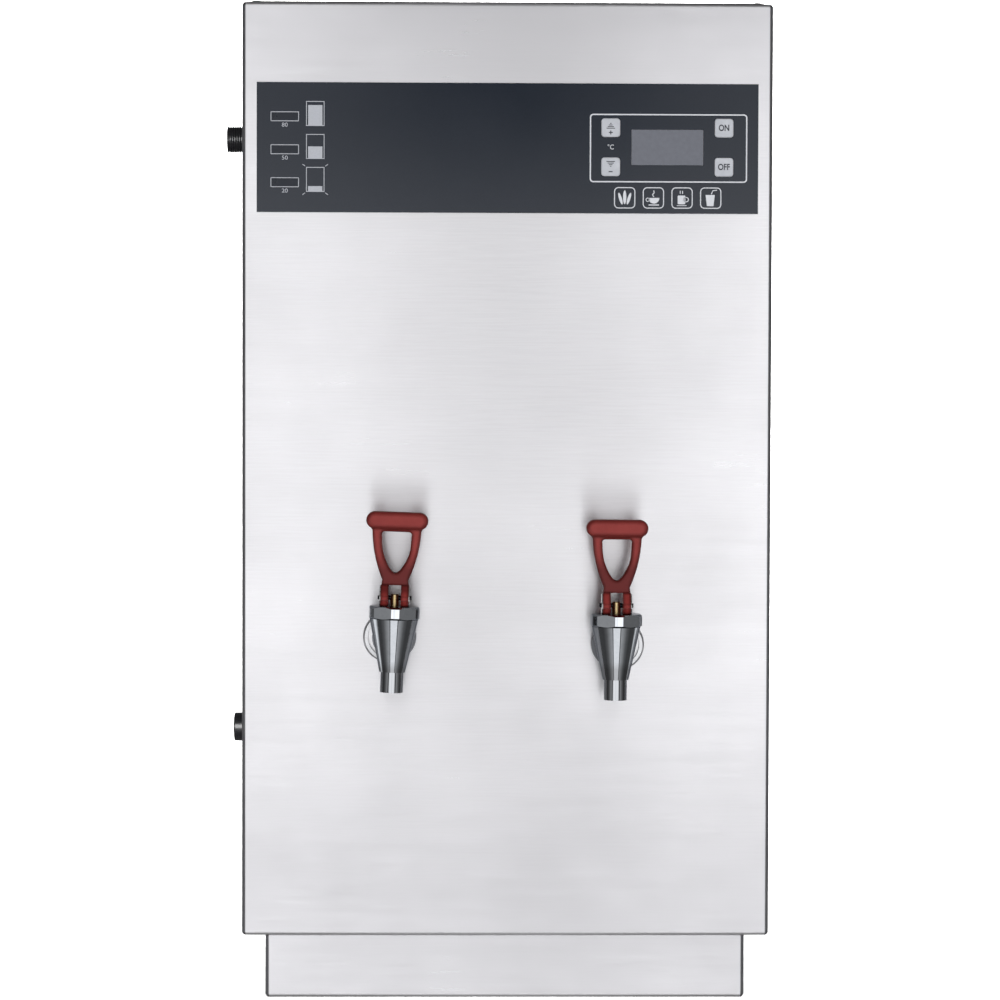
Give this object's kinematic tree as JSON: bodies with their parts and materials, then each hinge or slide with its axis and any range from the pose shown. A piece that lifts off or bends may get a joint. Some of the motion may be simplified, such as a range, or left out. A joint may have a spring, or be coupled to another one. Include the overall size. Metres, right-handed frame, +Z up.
{
  "type": "hot water urn",
  "caption": "Counter-top hot water urn in a folded steel cabinet, with lever taps below a control fascia and a threaded side inlet.",
  "frame": {"origin": "middle of the plinth's resting face, on the surface that the urn stands on", "axes": "+X to the user's right, -Y out of the front with the taps, +Z up"},
  "size_m": [0.4184, 0.4268, 0.7584],
  "materials": {
    "brushed_steel": "horizontally brushed stainless sheet, satin",
    "galvanised_sheet": "plain zinc-coated sheet, dull spangle",
    "tank_steel": "pickled stainless with welded seams",
    "plated_fastener": "bright zinc-plated steel",
    "spring_steel": "bright drawn spring wire",
    "fascia_print": "dark slate printed polycarbonate overlay, fine satin grain",
    "display_lens": "smoked grey window",
    "level_lens": "dark translucent window",
    "key_cap": "dark slate moulded key",
    "circuit_board": "green solder mask",
    "display_housing": "black moulded display frame",
    "tap_chrome": "polished chrome plate",
    "tap_stem_brass": "turned brass rod",
    "handle_red": "dark red moulded thermoset, satin, worn at the edges",
    "silicone": "milky silicone",
    "insulation_foam": "foil-faced foam jacket",
    "element_sheath": "heat-darkened alloy sheath",
    "probe_plastic": "off-white moulded plastic",
    "black_plastic": "black moulded nylon, satin",
    "coil_moulding": "black coil moulding",
    "brass_fitting": "forged brass",
    "wire_insulation": "black silicone wire sleeve",
    "reset_red": "red moulded button"
  },
  "bodies": {
    "cabinet": {"front_shell": "brushed_steel", "top_cover": "brushed_steel", "rear_panel": "brushed_steel", "cabinet_floor": "galvanised_sheet", "plinth": "brushed_steel", "machine_screws": "plated_fastener", "control_fascia": "fascia_print", "display_window": "display_lens", "level_windows": "level_lens", "control_board": "circuit_board", "display_module": "display_housing", "board_standoffs": "plated_fastener", "lamp_board": "circuit_board", "left_tap_body": "tap_chrome", "left_tap_bonnet": "tap_chrome", "left_tap_spring": "spring_steel", "right_tap_body": "tap_chrome", "right_tap_bonnet": "tap_chrome", "right_tap_spring": "spring_steel", "tap_rings": "tap_chrome", "tap_locknuts": "brass_fitting", "tank_shell": "tank_steel", "tank_lid": "tank_steel", "flat_seals": "silicone", "tank_bolts": "plated_fastener", "tank_insulation": "insulation_foam", "tank_cradle": "galvanised_sheet", "heating_element": "element_sheath", "heater_flange": "tank_steel", "level_probes": "probe_plastic", "temperature_probe": "tank_steel", "overflow_pipe": "tank_steel", "inlet_nipple": "black_plastic", "inlet_valve_body": "brass_fitting", "solenoid_coil": "coil_moulding", "solenoid_spring": "spring_steel", "silicone_hoses": "silicone", "drain_pipe": "tank_steel", "terminal_block": "probe_plastic", "contactor": "display_housing", "cable_gland": "black_plastic", "earth_stud": "brass_fitting", "thermal_cutout": "display_housing", "wiring_loom": "wire_insulation"},
    "plus_key": {"key_plus": "key_cap"},
    "minus_key": {"key_minus": "key_cap"},
    "on_key": {"key_on": "key_cap"},
    "off_key": {"key_off": "key_cap"},
    "left_stem": {"left_tap_stem": "tap_stem_brass", "left_tap_cup": "silicone"},
    "left_lever": {"left_tap_handle": "handle_red", "left_tap_pin_set": "plated_fastener"},
    "right_stem": {"right_tap_stem": "tap_stem_brass", "right_tap_cup": "silicone"},
    "right_lever": {"right_tap_handle": "handle_red", "right_tap_pin_set": "plated_fastener"},
    "valve_plunger": {"solenoid_plunger": "tank_steel"},
    "reset_button": {"cutout_reset_button": "reset_red"},
    "plug_washer": {"drain_plug_seal": "silicone"},
    "plug": {"drain_plug": "black_plastic"}
  },
  "joints": [
    {"name": "left_stem_lift", "type": "slide", "parent": "cabinet", "child": "left_stem", "axis": [0.0332, 0, 0.9995], "range_m": [0, 0.004], "stiffness_N_per_m": 500, "springref_m": -0.012, "deforming": ["left_tap_spring"]},
    {"name": "left_handle_tilt", "type": "hinge", "parent": "left_stem", "child": "left_lever", "pos_m": [-0.08363, -0.212, 0.30938], "axis": [0.9995, 0, -0.0332], "range_deg": [0, 60]},
    {"name": "right_stem_lift", "type": "slide", "parent": "cabinet", "child": "right_stem", "axis": [0.007, 0, 1], "range_m": [0, 0.004], "stiffness_N_per_m": 500, "springref_m": -0.012, "deforming": ["right_tap_spring"]},
    {"name": "right_handle_tilt", "type": "hinge", "parent": "right_stem", "child": "right_lever", "pos_m": [0.08092, -0.212, 0.304], "axis": [1, 0, -0.007], "range_deg": [0, 60]},
    {"name": "plus_key_press", "type": "slide", "parent": "cabinet", "child": "plus_key", "axis": [0, 1, 0], "range_m": [0, 0.0005], "stiffness_N_per_m": 1200, "springref_m": -0.0006},
    {"name": "minus_key_press", "type": "slide", "parent": "cabinet", "child": "minus_key", "axis": [0, 1, 0], "range_m": [0, 0.0005], "stiffness_N_per_m": 1200, "springref_m": -0.0006},
    {"name": "on_key_press", "type": "slide", "parent": "cabinet", "child": "on_key", "axis": [0, 1, 0], "range_m": [0, 0.0005], "stiffness_N_per_m": 1200, "springref_m": -0.0006},
    {"name": "off_key_press", "type": "slide", "parent": "cabinet", "child": "off_key", "axis": [0, 1, 0], "range_m": [0, 0.0005], "stiffness_N_per_m": 1200, "springref_m": -0.0006},
    {"name": "valve_plunger_lift", "type": "slide", "parent": "cabinet", "child": "valve_plunger", "axis": [0, 0, 1], "range_m": [0, 0.0025], "stiffness_N_per_m": 300, "springref_m": -0.006, "deforming": ["solenoid_spring"]},
    {"name": "reset_button_press", "type": "slide", "parent": "cabinet", "child": "reset_button", "axis": [0, -1, 0], "range_m": [0, 0.0015], "stiffness_N_per_m": 1200, "springref_m": -0.001},
    {"name": "plug_travel", "type": "slide", "parent": "cabinet", "child": "plug_washer", "axis": [-1, 0, 0], "range_m": [0, 0.01179]},
    {"name": "plug_turn", "type": "hinge", "parent": "plug_washer", "child": "plug", "pos_m": [-0.2, -0.07, 0.198], "axis": [-1, 0, 0], "range_deg": [0, 2340]}
  ],
  "couplings": [
    {"joint": "left_handle_tilt", "follows": "left_stem_lift", "rad_per_m": 261.8},
    {"joint": "right_handle_tilt", "follows": "right_stem_lift", "rad_per_m": 261.8},
    {"joint": "plug_turn", "follows": "plug_travel", "rad_per_m": 3463.7}
  ]
}
